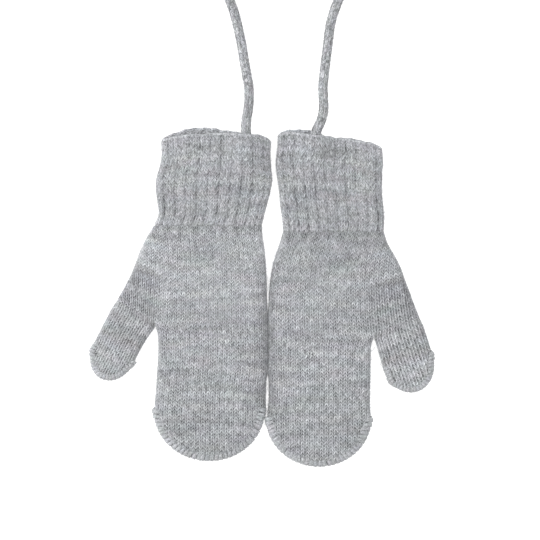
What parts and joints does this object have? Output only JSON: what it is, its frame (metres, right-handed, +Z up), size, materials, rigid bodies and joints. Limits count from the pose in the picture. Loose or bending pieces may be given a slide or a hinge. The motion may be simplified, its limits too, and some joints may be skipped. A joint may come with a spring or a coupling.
{
  "type": "pair of mittens",
  "caption": "Small child's knitted mittens in heather grey, laid flat: ribbed cuffs, thumbs outward, overlocked tips, joined by a round knitted cord.",
  "frame": {"origin": "on the surface that the mittens lie on, below the middle of the box round both mittens without their cord", "axes": "+Z up from the surface, +Y from the finger tips towards the cuffs, +X to the right in the picture, from the left mitten to the right one"},
  "size_m": [0.1725, 0.3027, 0.0099],
  "materials": {
    "rib_knit": "ribbed heather grey wool-like knit, soft and matt",
    "plain_knit": "plain heather grey wool-like knit, soft and matt",
    "thumb_knit": "plain heather grey wool-like knit with finer wales, soft and matt",
    "overlock_thread": "light grey overlock thread over the knit's edge",
    "cord_knit": "round knitted heather grey cord"
  },
  "bodies": {
    "root": {"left_cuff": "rib_knit", "left_hand": "plain_knit", "left_thumb": "thumb_knit", "left_tip_seam": "overlock_thread", "left_thumb_seam": "overlock_thread", "right_cuff": "rib_knit", "right_hand": "plain_knit", "right_thumb": "thumb_knit", "right_tip_seam": "overlock_thread", "right_thumb_seam": "overlock_thread", "cord_left": "cord_knit", "cord_coil": "cord_knit", "cord_right": "cord_knit"}
  },
  "joints": []
}
